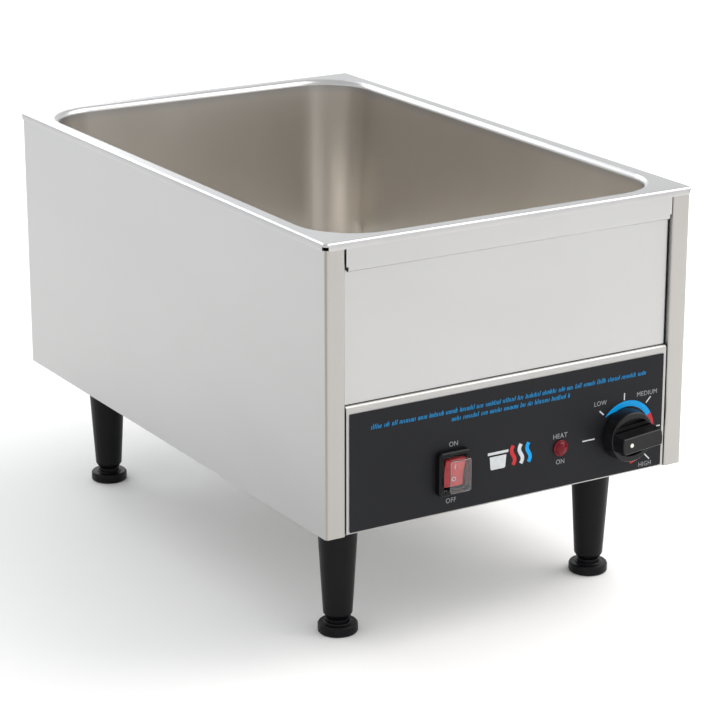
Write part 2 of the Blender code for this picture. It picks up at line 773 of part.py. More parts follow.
def make_heater(steel, sheath, aluminium, ceramic):
    rings = [rounded_ring(143 * MM, 247 * MM, 24 * MM, z, 4) for z in (SPREADER_LOW, SPREADER_TOP)]
    lofted("heat_spreader", rings, aluminium)
    route = element_route()
    tube("heating_element", route, ELEMENT_RADIUS, sheath)
    for side, end in (("left", route[0]), ("right", route[-1])):
        pin = [(0, 0.4), (1.6, 0.4), (1.6, 14), (0, 14)]
        turned(
            f"element_terminal_{side}",
            [(r * MM, h * MM) for r, h in pin],
            steel,
            segments=12,
            location=end,
            rotation=FACING_FRONT,
        )

    clamp_low = CLAMP_TOP - CLAMP_THICK
    stud_top = SPREADER_LOW - 0.3 * MM
    stud_holes = rods(
        "cut_stud_holes",
        [((0, y, SHIELD_LOW - 5 * MM), (0, y, CLAMP_TOP + 5 * MM)) for y in (-CLAMP_Y, CLAMP_Y)],
        STUD_RADIUS + 0.4 * MM,
        steel,
        count=12,
    )
    for place, y in (("front", -CLAMP_Y), ("rear", CLAMP_Y)):
        rings = [rounded_ring(126 * MM, 7.5 * MM, 2 * MM, z, 2) for z in (clamp_low, CLAMP_TOP)]
        bar = lofted(f"clamp_bar_{place}", rings, steel)
        bar.location = (0, y, 0)
        boolean(bar, stud_holes)
        stud = [(0, SHIELD_LOW - 0.2 * MM), (STUD_RADIUS, SHIELD_LOW - 0.2 * MM), (STUD_RADIUS, stud_top), (0, stud_top)]
        turned(f"clamp_stud_{place}", stud, steel, segments=12, location=(0, y, 0))
        nut_top = clamp_low - 0.3 * MM
        hex_nut(
            f"clamp_nut_{place}", 8 * MM, STUD_RADIUS + 0.35 * MM, nut_top - 4 * MM, nut_top, steel, location=(0, y, 0)
        )

    half = (140 * MM, 222 * MM, 8 * MM)
    inner = tuple(size - SHIELD_SHEET for size in half)
    edge_top = SHIELD_LOW + 6 * MM
    rings = [
        rounded_ring(*half, SHIELD_LOW),
        rounded_ring(*half, edge_top),
        rounded_ring(*inner, edge_top),
        rounded_ring(*inner, SHIELD_LOW + SHIELD_SHEET),
    ]
    shield = lofted("heat_shield", rings, steel, location=(0, 5 * MM, 0))
    boolean(shield, stud_holes)

    cutout = [(0, 0), (8, 0), (8, 4.4), (9.2, 4.6), (9.2, 8.2), (0, 8.2)]
    turned(
        "high_limit_cutout",
        [(r * MM, h * MM) for r, h in cutout],
        ceramic,
        segments=16,
        location=(ELEMENT_PITCH, 50 * MM, SPREADER_LOW - 8.6 * MM),
    )


def make_insulation(wool):
    outer = (179.5 * MM, 281.5 * MM, 56 * MM)
    inner = tuple(size - 6.5 * MM for size in outer)
    low = WELL_FLOOR + 34 * MM
    top = DECK_TOP - 15 * MM
    rings = [
        rounded_ring(*inner, low, 4),
        rounded_ring(*outer, low, 4),
        rounded_ring(*outer, top, 4),
        rounded_ring(*inner, top, 4),
    ]
    lofted("insulation_wrap", rings, wool, closed=True)
    slab_top = SHIELD_LOW - 0.7 * MM
    rings = [rounded_ring(138 * MM, 205 * MM, 6 * MM, z, 2) for z in (slab_top - 25 * MM, slab_top)]
    lofted("insulation_slab", rings, wool)


def make_base(steel, casing):
    half_y = (BACK - 2 * MM - (FRONT + 13.5 * MM)) / 2
    centre_y = (BACK - 2 * MM + FRONT + 13.5 * MM) / 2
    half = (SIDE - 2.2 * MM, half_y, 5 * MM)
    inner = tuple(size - SHEET for size in half)
    edge_top = BASE_LOW + 12 * MM
    rings = [
        rounded_ring(*half, BASE_LOW),
        rounded_ring(*half, edge_top),
        rounded_ring(*inner, edge_top),
        rounded_ring(*inner, BASE_TOP),
    ]
    base = lofted("base_pan", rings, steel, location=(0, centre_y, 0))

    below = BASE_LOW - 4 * MM
    above = BASE_TOP + 4 * MM
    slots = []
    for column in range(-3, 4):
        x = column * 26 * MM
        for row_y in (-110 * MM, 110 * MM):
            slots.append(((x - 2.5 * MM, row_y - 25 * MM, below), (x + 2.5 * MM, row_y + 25 * MM, above)))
    boolean(base, blocks("cut_vent_slots", slots, steel))
    leg_ends = [((x, y, below), (x, y, above)) for x, y in leg_places().values()]
    boolean(base, rods("cut_leg_holes", leg_ends, 5.6 * MM, steel))
    screws = {
        f"{end}_{side}": (sign_x * BASE_SCREW_X, sign_y * BASE_SCREW_Y)
        for end, sign_y in (("front", -1), ("rear", 1))
        for side, sign_x in (("left", -1), ("right", 1))
    }
    screw_holes = rods(
        "cut_base_screws", [((x, y, below), (x, y, above)) for x, y in screws.values()], 2.4 * MM, steel, count=12
    )
    boolean(base, screw_holes)
    boolean(casing, screw_holes)
    screw = [(0, -2.4), (2.6, -2.2), (3.8, -0.9), (3.8, -0.2), (1.9, -0.2), (1.9, 11), (0, 11)]
    for name, (x, y) in screws.items():
        turned(
            f"base_screw_{name}",
            [(r * MM, h * MM) for r, h in screw],
            steel,
            segments=12,
            location=(x, y, CASE_BOTTOM),
        )


def leg_places():
    return {
        "front_left": (-LEG_X, -LEG_Y),
        "front_right": (LEG_X, -LEG_Y),
        "rear_left": (-LEG_X, LEG_Y),
        "rear_right": (LEG_X, LEG_Y),
    }


def make_legs(black, steel):
    leg_top = CASE_BOTTOM / MM + 1.2
    leg = [
        (0, 62),
        (5.6, 62),
        (5.6, 13.5),
        (9.85, 13.5),
        (12.85, 17.9),
        (18.75, leg_top),
        (5.0, leg_top),
        (5.0, leg_top + 18),
        (0, leg_top + 18),
    ]
    foot = [
        (0, 0),
        (16.6, 0),
        (17.6, 1.2),
        (17.6, 7.6),
        (16.6, 9.0),
        (12.4, 9.0),
        (11.9, 10.2),
        (10.6, 10.2),
        (9.7, 9.4),
        (9.7, 12.9),
        (5.1, 12.9),
        (5.1, 45),
        (0, 45),
    ]
    nut_low = BASE_TOP + 0.4 * MM
    for name, (x, y) in leg_places().items():
        turned(f"leg_{name}", [(r * MM, h * MM) for r, h in leg], black, segments=20, location=(x, y, 0))
        turned(f"foot_{name}", [(r * MM, h * MM) for r, h in foot], black, segments=20, location=(x, y, 0))
        hex_nut(f"leg_nut_{name}", 17 * MM, 5.4 * MM, nut_low, nut_low + 8 * MM, steel, location=(x, y, 0))


def make_cable_entry(casing, black, brass):
    z = CASE_BOTTOM + GLAND_UP
    boolean(casing, rods("cut_gland_hole", [((GLAND_X, BACK - 5 * MM, z), (GLAND_X, BACK + 5 * MM, z))], 8.2 * MM, black))
    reach = GLAND_REACH / MM
    sections = [
        (circle_ring, 5.0, -12),
        (circle_ring, 7.7, -12),
        (circle_ring, 7.7, 0.35),
        (hex_ring, 24, 0.35),
        (hex_ring, 24, 6.5),
        (circle_ring, 10.2, 6.8),
        (circle_ring, 10.2, 8.2),
        (hex_ring, 22.5, 8.5),
        (hex_ring, 22.5, 17),
        (circle_ring, 10.5, 18.5),
        (circle_ring, 9.2, 23.5),
        (circle_ring, 6.8, reach),
        (circle_ring, 5.0, reach),
    ]
    rings = [ring(size * MM, height * MM) for ring, size, height in sections]
    place = {"location": (GLAND_X, BACK, z), "rotation": FACING_BACK}
    lofted("cable_gland", rings, black, closed=True, **place)
    hex_nut("cable_gland_nut", 24 * MM, 8.4 * MM, -6.4 * MM, -1.4 * MM, black, **place)

    block_low = BASE_TOP + 0.4 * MM
    rings = [rounded_ring(21 * MM, 9 * MM, 1 * MM, z, 1) for z in (block_low, block_low + 16 * MM)]
    block = lofted("terminal_block", rings, black, location=(80 * MM, 245 * MM, 0))
    wells = [
        ((x * MM, 245 * MM, block_low + 8 * MM), (x * MM, 245 * MM, block_low + 20 * MM)) for x in (67, 80, 93)
    ]
    boolean(block, rods("cut_terminal_wells", wells, 3 * MM, black, count=12))
    stud = [(0, 0.4), (5, 0.4), (5, 1.6), (2.5, 1.6), (2.5, 14), (0, 14)]
    turned(
        "earth_stud",
        [(r * MM, h * MM) for r, h in stud],
        brass,
        segments=12,
        location=(40 * MM, 255 * MM, BASE_TOP),
    )


def make_wires(live, neutral):
    """Single leads that lie low along the casing and rise to their terminals."""
    radius = 1.6 * MM
    low = BASE_TOP + 3.5 * MM
    switch_z = CASE_BOTTOM + SWITCH_UP
    knob_z = CASE_BOTTOM + KNOB_UP
    switch_back = FRONT + 22.4 * MM
    knob_back = FRONT + 24.4 * MM
    block_front = 235.4 * MM
    pin_y = -249.8 * MM
    lead_x = 1.5 * ELEMENT_PITCH
    routes = {
        "wire_supply_to_switch": (
            live,
            [
                (93 * MM, block_front, low + 5 * MM),
                (98 * MM, 222 * MM, low + 3 * MM),
                (146 * MM, 190 * MM, low),
                (164 * MM, 120 * MM, low),
                (164 * MM, -160 * MM, low),
                (160 * MM, -236 * MM, low),
                (130 * MM, -254 * MM, low),
                (20 * MM, -254 * MM, low),
                (-40 * MM, -250 * MM, low + 4 * MM),
                (SWITCH_X + 4 * MM, switch_back + 16 * MM, switch_z - 10 * MM),
                (SWITCH_X + 4 * MM, switch_back, switch_z - 6 * MM),
            ],
        ),
        "wire_switch_to_thermostat": (
            live,
            [
                (SWITCH_X + 4 * MM, switch_back, switch_z + 7 * MM),
                (SWITCH_X + 6 * MM, switch_back + 14 * MM, switch_z + 8 * MM),
                (0, -247 * MM, switch_z + 5 * MM),
                (70 * MM, -247 * MM, knob_z + 4 * MM),
                (KNOB_X - 12 * MM, knob_back + 12 * MM, knob_z),
                (KNOB_X - 9 * MM, knob_back, knob_z - 2 * MM),
            ],
        ),
        "wire_thermostat_to_element": (
            live,
            [
                (KNOB_X + 2 * MM, knob_back, knob_z - 10 * MM),
                (KNOB_X + 6 * MM, knob_back + 14 * MM, knob_z - 6 * MM),
                (KNOB_X + 20 * MM, knob_back + 18 * MM, knob_z + 10 * MM),
                (KNOB_X + 18 * MM, knob_back + 8 * MM, knob_z + 22 * MM),
                (lead_x + 8 * MM, pin_y - 6 * MM, ELEMENT_Z - 1 * MM),
                (lead_x, pin_y - 6 * MM, ELEMENT_Z),
            ],
        ),
        "wire_element_to_supply": (
            neutral,
            [
                (-lead_x, pin_y, ELEMENT_Z),
                (-lead_x, pin_y - 5 * MM, ELEMENT_Z),
                (-lead_x - 14 * MM, pin_y - 6 * MM, ELEMENT_Z - 16 * MM),
                (-152 * MM, -240 * MM, 150 * MM),
                (-162 * MM, -212 * MM, low + 6 * MM),
                (-164 * MM, -160 * MM, low),
                (-164 * MM, 0, low),
                (-164 * MM, 180 * MM, low),
                (-140 * MM, 250 * MM, low),
                (-40 * MM, 262 * MM, low),
                (20 * MM, 240 * MM, low),
                (50 * MM, 224 * MM, low + 3 * MM),
                (67 * MM, 226 * MM, low + 5 * MM),
                (67 * MM, block_front, low + 5 * MM),
            ],
        ),
    }
    for name, (finish, points) in routes.items():
        tube(name, smooth_route(points, steps=3), radius, finish, sides=1)


def main():
    clear_scene()
    steel = material("stainless_steel", (0.78, 0.78, 0.77), 0.3, 1.0)
    well_steel = material("well_stainless", (0.62, 0.59, 0.55), 0.35, 1.0)
    inner_steel = material("inner_steel", (0.6, 0.6, 0.6), 0.45, 1.0)
    aluminium = material("aluminium", (0.75, 0.76, 0.77), 0.4, 1.0)
    sheath = material("element_sheath", (0.2, 0.19, 0.18), 0.5, 0.9)
    copper = material("copper", (0.72, 0.42, 0.28), 0.35, 1.0)
    brass = material("brass", (0.8, 0.62, 0.3), 0.35, 1.0)
    black = material("black_plastic", (0.02, 0.02, 0.022), 0.4)
    label = material("label_black", (0.035, 0.035, 0.038), 0.45)
    leg_black = material("leg_black", (0.014, 0.014, 0.016), 0.5)
    clear = material("clear_plastic", (0.9, 0.92, 0.93), 0.1, 0.0, 0.25)
    rocker_red = material("rocker_red", (0.6, 0.03, 0.03), 0.3)
    lamp_red = material("lamp_red", (0.5, 0.02, 0.03), 0.15)
    ceramic = material("ceramic", (0.8, 0.77, 0.7), 0.6)
    wool = material("insulation_wool", (0.8, 0.78, 0.7), 0.95)
    live = material("wire_red", (0.5, 0.05, 0.04), 0.5)
    neutral = material("wire_white", (0.8, 0.8, 0.78), 0.5)

    make_well(well_steel)
    casing = make_casing(steel)
    make_front(steel)
    make_control_panel(steel, label)
    make_switch(black, clear, rocker_red)
    make_lamp(lamp_red, black, inner_steel)
    make_thermostat(black, inner_steel, ceramic, copper)
    make_heater(inner_steel, sheath, aluminium, ceramic)
    make_insulation(wool)
    make_base(inner_steel, casing)
    make_legs(leg_black, inner_steel)
    make_cable_entry(casing, black, brass)
    make_wires(live, neutral)


main()
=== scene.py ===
"""Looks of a countertop food warmer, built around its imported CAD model."""
import json
import math
import random

import bmesh
import bpy
from mathutils import Matrix, Vector


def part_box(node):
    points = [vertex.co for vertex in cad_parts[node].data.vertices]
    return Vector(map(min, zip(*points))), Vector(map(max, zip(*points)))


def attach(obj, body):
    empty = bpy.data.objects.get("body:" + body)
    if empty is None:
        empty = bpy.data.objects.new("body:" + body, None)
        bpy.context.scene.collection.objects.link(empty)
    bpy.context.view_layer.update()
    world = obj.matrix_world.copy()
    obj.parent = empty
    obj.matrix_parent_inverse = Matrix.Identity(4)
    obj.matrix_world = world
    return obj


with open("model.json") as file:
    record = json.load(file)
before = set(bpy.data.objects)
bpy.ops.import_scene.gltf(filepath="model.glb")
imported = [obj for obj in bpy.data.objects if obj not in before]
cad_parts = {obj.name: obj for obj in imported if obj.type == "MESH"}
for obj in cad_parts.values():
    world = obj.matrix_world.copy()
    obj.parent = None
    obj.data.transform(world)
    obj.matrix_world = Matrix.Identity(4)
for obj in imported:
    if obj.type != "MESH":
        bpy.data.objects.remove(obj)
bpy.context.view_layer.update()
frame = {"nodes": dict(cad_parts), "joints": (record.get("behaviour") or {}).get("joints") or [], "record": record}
nodes = frame["nodes"]

MM = 0.001

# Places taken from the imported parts
CASE_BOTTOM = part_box("outer_casing")[0].z
CASE_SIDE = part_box("outer_casing")[1].x
CASE_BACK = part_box("outer_casing")[1].y
LABEL_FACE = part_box("control_overlay")[0].y
WELL_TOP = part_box("well_pan")[1].z
joint_at = {joint["name"]: Vector(joint["pos_m"]) for joint in frame["joints"] if joint["type"] == "hinge"}
KNOB_AT = joint_at["heat_knob_turn"]
ROCKER_AT = joint_at["power_rocker_tilt"]

# Radius of the casing's upright folds, and where its front flanges end, from the middle
CASE_FOLD = 3 * MM
FLANGE_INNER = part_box("front_top_rail")[1].x + 1.2 * MM

# The rocker's rest tilt, and its face: height along the face, and distance in front of the pivot
ROCKER_TILT = math.radians(10)
ROCKER_FACE = ((-12.6, 1.6), (-6.2, 0.5), (0, 0.1), (6.2, 0.5), (12.6, 1.6))

# The knob's pointer end is turned this far from straight left
KNOB_REST = math.radians(5)
KNOB_BAR_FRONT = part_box("thermostat_knob")[0].y

# Camera: where it stands, and its angles and lens
CAMERA_AT = (-1.2038, -2.0103, 0.9086)
CAMERA_AZIMUTH = math.radians(-31.357)
CAMERA_ELEVATION = math.radians(17.589)
CAMERA_LENS = 132.34

INK_THICK = 0.04 * MM
INK_SUNK = 0.015 * MM

# Width of one dash in the notice's place, and how far it leans for its height, in mm
DASH = 0.44
DASH_LEAN = 0.22

# The white dot: how far out from the knob's middle
DOT_OUT = 12 * MM

# The clear cover's front edge, where a painted highlight ring goes: half its width and height, its corner and the
# edge's own thickness
COVER_HALF_X = 10.1 * MM
COVER_HALF_Z = 13.9 * MM
COVER_CORNER = 1.5 * MM
COVER_EDGE = 0.2 * MM


# ---------------------------------------------------------------- camera, floor and lights

def make_camera():
    data = bpy.data.cameras.new("camera")
    data.lens = CAMERA_LENS
    data.sensor_width = 36
    data.clip_start = 0.05
    data.clip_end = 60
    camera = bpy.data.objects.new("camera", data)
    bpy.context.scene.collection.objects.link(camera)
    back = Vector((
        math.sin(CAMERA_AZIMUTH) * math.cos(CAMERA_ELEVATION),
        -math.cos(CAMERA_AZIMUTH) * math.cos(CAMERA_ELEVATION),
        math.sin(CAMERA_ELEVATION),
    ))
    camera.rotation_mode = "QUATERNION"
    camera.rotation_quaternion = (-back).to_track_quat("-Z", "Y")
    camera.location = CAMERA_AT
    bpy.context.scene.camera = camera


def make_floor():
    mesh = bpy.data.meshes.new("floor")
    half = 14.0
    corners = [(-half, -half, 0), (half, -half, 0), (half, half, 0), (-half, half, 0)]
    mesh.from_pydata(corners, [], [(0, 1, 2, 3)])
    floor = bpy.data.objects.new("floor", mesh)
    bpy.context.scene.collection.objects.link(floor)
    paint = bpy.data.materials.new("floor_white")
    paint.use_nodes = True
    shader = paint.node_tree.nodes["Principled BSDF"]
    shader.inputs["Base Color"].default_value = (0.93, 0.93, 0.93, 1)
    shader.inputs["Roughness"].default_value = 0.9
    shader.inputs["Specular IOR Level"].default_value = 0.1
    mesh.materials.append(paint)


def make_world():
    world = bpy.data.worlds.new("studio")
    world.use_nodes = True
    bpy.context.scene.world = world
    tree = world.node_tree
    background = tree.nodes["Background"]
    place = tree.nodes.new("ShaderNodeTexCoord")
    split = tree.nodes.new("ShaderNodeSeparateXYZ")
    ramp = tree.nodes.new("ShaderNodeValToRGB")
    tree.links.new(place.outputs["Generated"], split.inputs["Vector"])
    tree.links.new(split.outputs["Z"], ramp.inputs["Fac"])
    tree.links.new(ramp.outputs["Color"], background.inputs["Color"])
    ramp.color_ramp.elements[0].position = 0.0
    ramp.color_ramp.elements[0].color = (0.98, 0.99, 1.0, 1)
    ramp.color_ramp.elements[1].position = 0.7
    ramp.color_ramp.elements[1].color = (0.76, 0.76, 0.76, 1)
    background.inputs["Strength"].default_value = 1.15


def add_light(name, at, towards, width, height, power, colour=(1, 1, 1)):
    data = bpy.data.lights.new(name, "AREA")
    data.shape = "RECTANGLE"
    data.size = width
    data.size_y = height
    data.energy = power
    data.color = colour
    light = bpy.data.objects.new(name, data)
    bpy.context.scene.collection.objects.link(light)
    light.location = at
    light.rotation_mode = "QUATERNION"
    light.rotation_quaternion = (Vector(towards) - Vector(at)).to_track_quat("-Z", "Y")


def make_studio():
    make_camera()
    make_floor()
    make_world()
    warm = (1.0, 0.975, 0.945)
    cool = (0.96, 0.98, 1.0)
    add_light("key_right", (1.3, -0.6, 1.8), (0, 0, 0.2), 1.8, 1.8, 34, warm)
    add_light("strip_back", (-0.1, 2.7, 1.75), (0, 0, 0.3), 2.6, 1.3, 26, cool)
    add_light("fill_front", (1.5, -2.3, 0.8), (0, -0.2, 0.2), 1.4, 1.0, 2.5, warm)


# ---------------------------------------------------------------- materials

materials = {}


def noise(tree, stretch, detail=3.0, rough=0.55):
    """Soft noise in the frame's metres, with its own number of features a metre along each axis."""
    place = tree.nodes.new("ShaderNodeTexCoord")
    mapping = tree.nodes.new("ShaderNodeMapping")
    mapping.inputs["Scale"].default_value = stretch
    texture = tree.nodes.new("ShaderNodeTexNoise")
    texture.inputs["Scale"].default_value = 1.0
    texture.inputs["Detail"].default_value = detail
    texture.inputs["Roughness"].default_value = rough
    tree.links.new(place.outputs["Object"], mapping.inputs["Vector"])
    tree.links.new(mapping.outputs["Vector"], texture.inputs["Vector"])
    return texture.outputs["Fac"]


def spread(tree, factor, low, high, start=0.2, end=0.8):
    """The factor from start to end, turned into a value from low to high."""
    span = tree.nodes.new("ShaderNodeMapRange")
    span.interpolation_type = "SMOOTHSTEP"
    span.inputs["From Min"].default_value = start
    span.inputs["From Max"].default_value = end
    span.inputs["To Min"].default_value = low
    span.inputs["To Max"].default_value = high
    tree.links.new(factor, span.inputs["Value"])
    return span.outputs["Result"]


def mixed(tree, factor, first, second):
    """A colour between first and second, each a colour or the output of a node."""
    mix = tree.nodes.new("ShaderNodeMix")
    mix.data_type = "RGBA"
    tree.links.new(factor, mix.inputs[0])
    for socket, colour in ((mix.inputs[6], first), (mix.inputs[7], second)):
        if isinstance(colour, bpy.types.NodeSocket):
            tree.links.new(colour, socket)
        else:
            socket.default_value = (*colour, 1)
    return mix.outputs[2]


def relief(tree, height, depth, strength, under=None):
    """A bump of that height, in metres, on top of another bump's normal."""
    bump = tree.nodes.new("ShaderNodeBump")
    bump.inputs["Distance"].default_value = depth
    bump.inputs["Strength"].default_value = strength
    tree.links.new(height, bump.inputs["Height"])
    if under is not None:
        tree.links.new(under, bump.inputs["Normal"])
    return bump.outputs["Normal"]


def surface(name, colour, second, roughness, metallic=0.0, patch=(30, 30, 30), fine=(900, 900, 900),
            fine_depth=0.02 * MM, fine_strength=0.3, sockets=None):
    """A finish that drifts between two colours and two roughnesses in patches, with a fine relief."""
    made = bpy.data.materials.new(name)
    made.use_nodes = True
    tree = made.node_tree
    shader = tree.nodes["Principled BSDF"]
    patches = noise(tree, patch)
    grain = noise(tree, fine, detail=2.0)
    tree.links.new(mixed(tree, spread(tree, patches, 0, 1), colour, second), shader.inputs["Base Color"])
    tree.links.new(spread(tree, patches, *roughness), shader.inputs["Roughness"])
    tree.links.new(relief(tree, grain, fine_depth, fine_strength), shader.inputs["Normal"])
    shader.inputs["Metallic"].default_value = metallic
    for socket, value in (sockets or {}).items():
        shader.inputs[socket].default_value = value
    materials[name] = made
    return tree, shader


def position(tree):
    """The place of a point in the frame, as X, Y and Z."""
    place = tree.nodes.new("ShaderNodeTexCoord")
    split = tree.nodes.new("ShaderNodeSeparateXYZ")
    tree.links.new(place.outputs["Object"], split.inputs["Vector"])
    return split.outputs


def result(tree, operation, *values):
    """A math node on values that are numbers or outputs of nodes."""
    node = tree.nodes.new("ShaderNodeMath")
    node.operation = operation
    for socket, value in zip(node.inputs, values):
        if isinstance(value, bpy.types.NodeSocket):
            tree.links.new(value, socket)
        else:
            socket.default_value = value
    return node.outputs[0]


def fold_shade_mask(tree):
    """Where the painted fold shade goes: from 0 on the casing's flat walls to 1 in the middle of its upright
    folds.
    """
    at = position(tree)
    past_side = result(tree, "SUBTRACT", result(tree, "ABSOLUTE", at["X"]), CASE_SIDE - CASE_FOLD)
    past_end = result(tree, "SUBTRACT", result(tree, "ABSOLUTE", at["Y"]), CASE_BACK - CASE_FOLD)
    deep = result(tree, "MINIMUM", past_side, past_end)
    return spread(tree, deep, 0, 1, start=0.2 * CASE_FOLD, end=0.66 * CASE_FOLD)


def flange_reflection_tint_mask(tree):
    """Where the painted reflection tint goes: 1 on the casing's two front flanges, otherwise 0."""
    at = position(tree)
    out = result(tree, "ABSOLUTE", at["X"])
    across = spread(tree, out, 0, 1, start=FLANGE_INNER - 0.2 * MM, end=FLANGE_INNER)
    forward = spread(tree, at["Y"], 0, 1, start=1.4 * MM - CASE_BACK, end=1.0 * MM - CASE_BACK)
    return result(tree, "MULTIPLY", across, forward)


def make_materials():
    # Satin sheet steel: long soft drifts and hair-fine lines along the sheet, with painted shade darkening its
    # upright folds, and a painted reflection tint making the front flanges a little darker and warmer
    tree, shader = surface(
        "stainless_steel", (0.48, 0.48, 0.478), (0.51, 0.51, 0.508), (0.285, 0.335), 1.0,
        patch=(5, 4, 9), fine=(25, 25, 1300), fine_depth=0.002 * MM, fine_strength=0.3)
    plain = shader.inputs["Base Color"].links[0].from_socket
    # Painted reflection tint: the front flanges get a darker, warmer base colour than the sides
    flange_tinted = mixed(tree, flange_reflection_tint_mask(tree), plain, (0.435, 0.422, 0.402))
    # Painted shade: the middle of each upright fold is darkened to a warm brown-grey
    tree.links.new(mixed(tree, fold_shade_mask(tree), flange_tinted, (0.33, 0.305, 0.27)), shader.inputs["Base Color"])

    # Control panel: the same sheet, ground duller along its rolled top edge
    surface("panel_steel", (0.45, 0.445, 0.435), (0.48, 0.475, 0.465), (0.42, 0.50), 1.0,
            patch=(5, 4, 9), fine=(25, 25, 1300), fine_depth=0.002 * MM, fine_strength=0.3)

    # Well: brighter deck, warmer inside where the sheet was drawn
    tree, shader = surface(
        "well_stainless", (0.62, 0.595, 0.56), (0.66, 0.635, 0.60), (0.282, 0.33), 1.0,
        patch=(9, 7, 4), fine=(40, 40, 5), fine_depth=0.03 * MM, fine_strength=0.2)
    inside = spread(tree, position(tree)["Z"], 0, 1, start=WELL_TOP - 2 * MM, end=WELL_TOP - 14 * MM)
    drawn = shader.inputs["Base Color"].links[0].from_socket
    deck = mixed(tree, spread(tree, noise(tree, (12, 12, 12)), 0, 1), (0.47, 0.47, 0.475), (0.51, 0.51, 0.51))
    tree.links.new(mixed(tree, inside, deck, drawn), shader.inputs["Base Color"])

    surface("inner_steel", (0.50, 0.50, 0.49), (0.58, 0.58, 0.57), (0.32, 0.46), 1.0,
            patch=(60, 60, 60), fine=(1400, 1400, 200), fine_depth=0.01 * MM)
    surface("aluminium", (0.70, 0.71, 0.72), (0.78, 0.78, 0.79), (0.30, 0.42), 1.0,
            patch=(25, 25, 25), fine=(120, 1600, 1600), fine_depth=0.01 * MM)
    surface("element_sheath", (0.10, 0.09, 0.085), (0.24, 0.20, 0.16), (0.45, 0.65), 1.0,
            patch=(22, 22, 22), fine=(1500, 1500, 1500), fine_depth=0.02 * MM)
    surface("copper", (0.72, 0.36, 0.22), (0.50, 0.26, 0.17), (0.22, 0.42), 1.0, patch=(70, 70, 70))
    surface("brass", (0.78, 0.58, 0.26), (0.62, 0.45, 0.20), (0.22, 0.38), 1.0, patch=(150, 150, 150))
    surface("black_plastic", (0.003, 0.003, 0.004), (0.006, 0.006, 0.007), (0.285, 0.34),
            patch=(160, 160, 160), fine=(900, 900, 900), fine_depth=0.01 * MM, fine_strength=0.25,
            sockets={"Specular IOR Level": 0.18})
    surface("knob_black", (0.005, 0.005, 0.006), (0.008, 0.008, 0.009), (0.285, 0.34),
            patch=(140, 140, 140), fine=(900, 900, 900), fine_depth=0.008 * MM, fine_strength=0.25,
            sockets={"Specular IOR Level": 0.28})
    surface("label_black", (0.010, 0.0105, 0.013), (0.012, 0.0125, 0.015), (0.38, 0.46),
            patch=(18, 18, 18), fine=(900, 900, 900), fine_depth=0.01 * MM, fine_strength=0.3,
            sockets={"Specular IOR Level": 0.15})
    surface("leg_black", (0.003, 0.003, 0.004), (0.005, 0.005, 0.006), (0.34, 0.44),
            patch=(60, 60, 30), fine=(800, 800, 800), fine_depth=0.02 * MM, fine_strength=0.35,
            sockets={"Specular IOR Level": 0.15})
    surface("clear_plastic", (0.97, 0.98, 0.98), (0.93, 0.95, 0.95), (0.02, 0.06),
            patch=(90, 90, 90), fine=(300, 300, 300), fine_depth=0.01 * MM, fine_strength=0.1,
            sockets={"Transmission Weight": 1.0, "IOR": 1.46})
    # Painted highlight: light grey, part-clear finish for the ring on the clear cover's front edge
    surface("cover_edge_painted_highlight", (0.72, 0.74, 0.76), (0.60, 0.62, 0.64), (0.12, 0.20), patch=(140, 140, 140),
            fine=(500, 500, 500), fine_depth=0.01 * MM, fine_strength=0.2,
            sockets={"Transmission Weight": 0.35, "IOR": 1.46})
    surface("rocker_red", (0.62, 0.035, 0.04), (0.70, 0.05, 0.055), (0.20, 0.26),
            patch=(130, 130, 130), fine=(2000, 2000, 2000), fine_depth=0.015 * MM, fine_strength=0.2)
    surface("lamp_red", (0.11, 0.002, 0.006), (0.17, 0.003, 0.009), (0.08, 0.14),
            patch=(260, 260, 260), fine=(900, 900, 900), fine_depth=0.05 * MM, fine_strength=0.3,
            sockets={"Specular IOR Level": 0.22})
    surface("ceramic", (0.78, 0.75, 0.68), (0.70, 0.66, 0.58), (0.55, 0.75),
            patch=(260, 260, 260), fine=(1800, 1800, 1800), fine_depth=0.05 * MM)
    surface("insulation_wool", (0.80, 0.77, 0.66), (0.68, 0.62, 0.48), (0.85, 0.98),
            patch=(60, 60, 60), fine=(420, 90, 420), fine_depth=1.2 * MM, fine_strength=0.8)
    surface("wire_red", (0.46, 0.03, 0.03), (0.55, 0.05, 0.045), (0.34, 0.48), patch=(80, 80, 80))
    surface("wire_white", (0.78, 0.77, 0.74), (0.70, 0.69, 0.65), (0.34, 0.48), patch=(80, 80, 80))

    # Printing inks
    for name, first, second in (
        ("ink_white", (0.60, 0.62, 0.64), (0.52, 0.54, 0.56)),
        ("ink_blue", (0.0, 0.32, 0.74), (0.0, 0.29, 0.68)),
        ("ink_red", (0.52, 0.028, 0.035), (0.45, 0.022, 0.03)),
        ("ink_grey", (0.30, 0.31, 0.32), (0.25, 0.26, 0.27)),
        ("dot_white", (0.80, 0.80, 0.74), (0.72, 0.72, 0.66)),
    ):
        surface(name, first, second, (0.42, 0.55), patch=(220, 220, 220), fine=(3000, 3000, 3000),
                fine_depth=0.01 * MM, fine_strength=0.3, sockets={"Specular IOR Level": 0.2})


# ---------------------------------------------------------------- finish of the CAD nodes

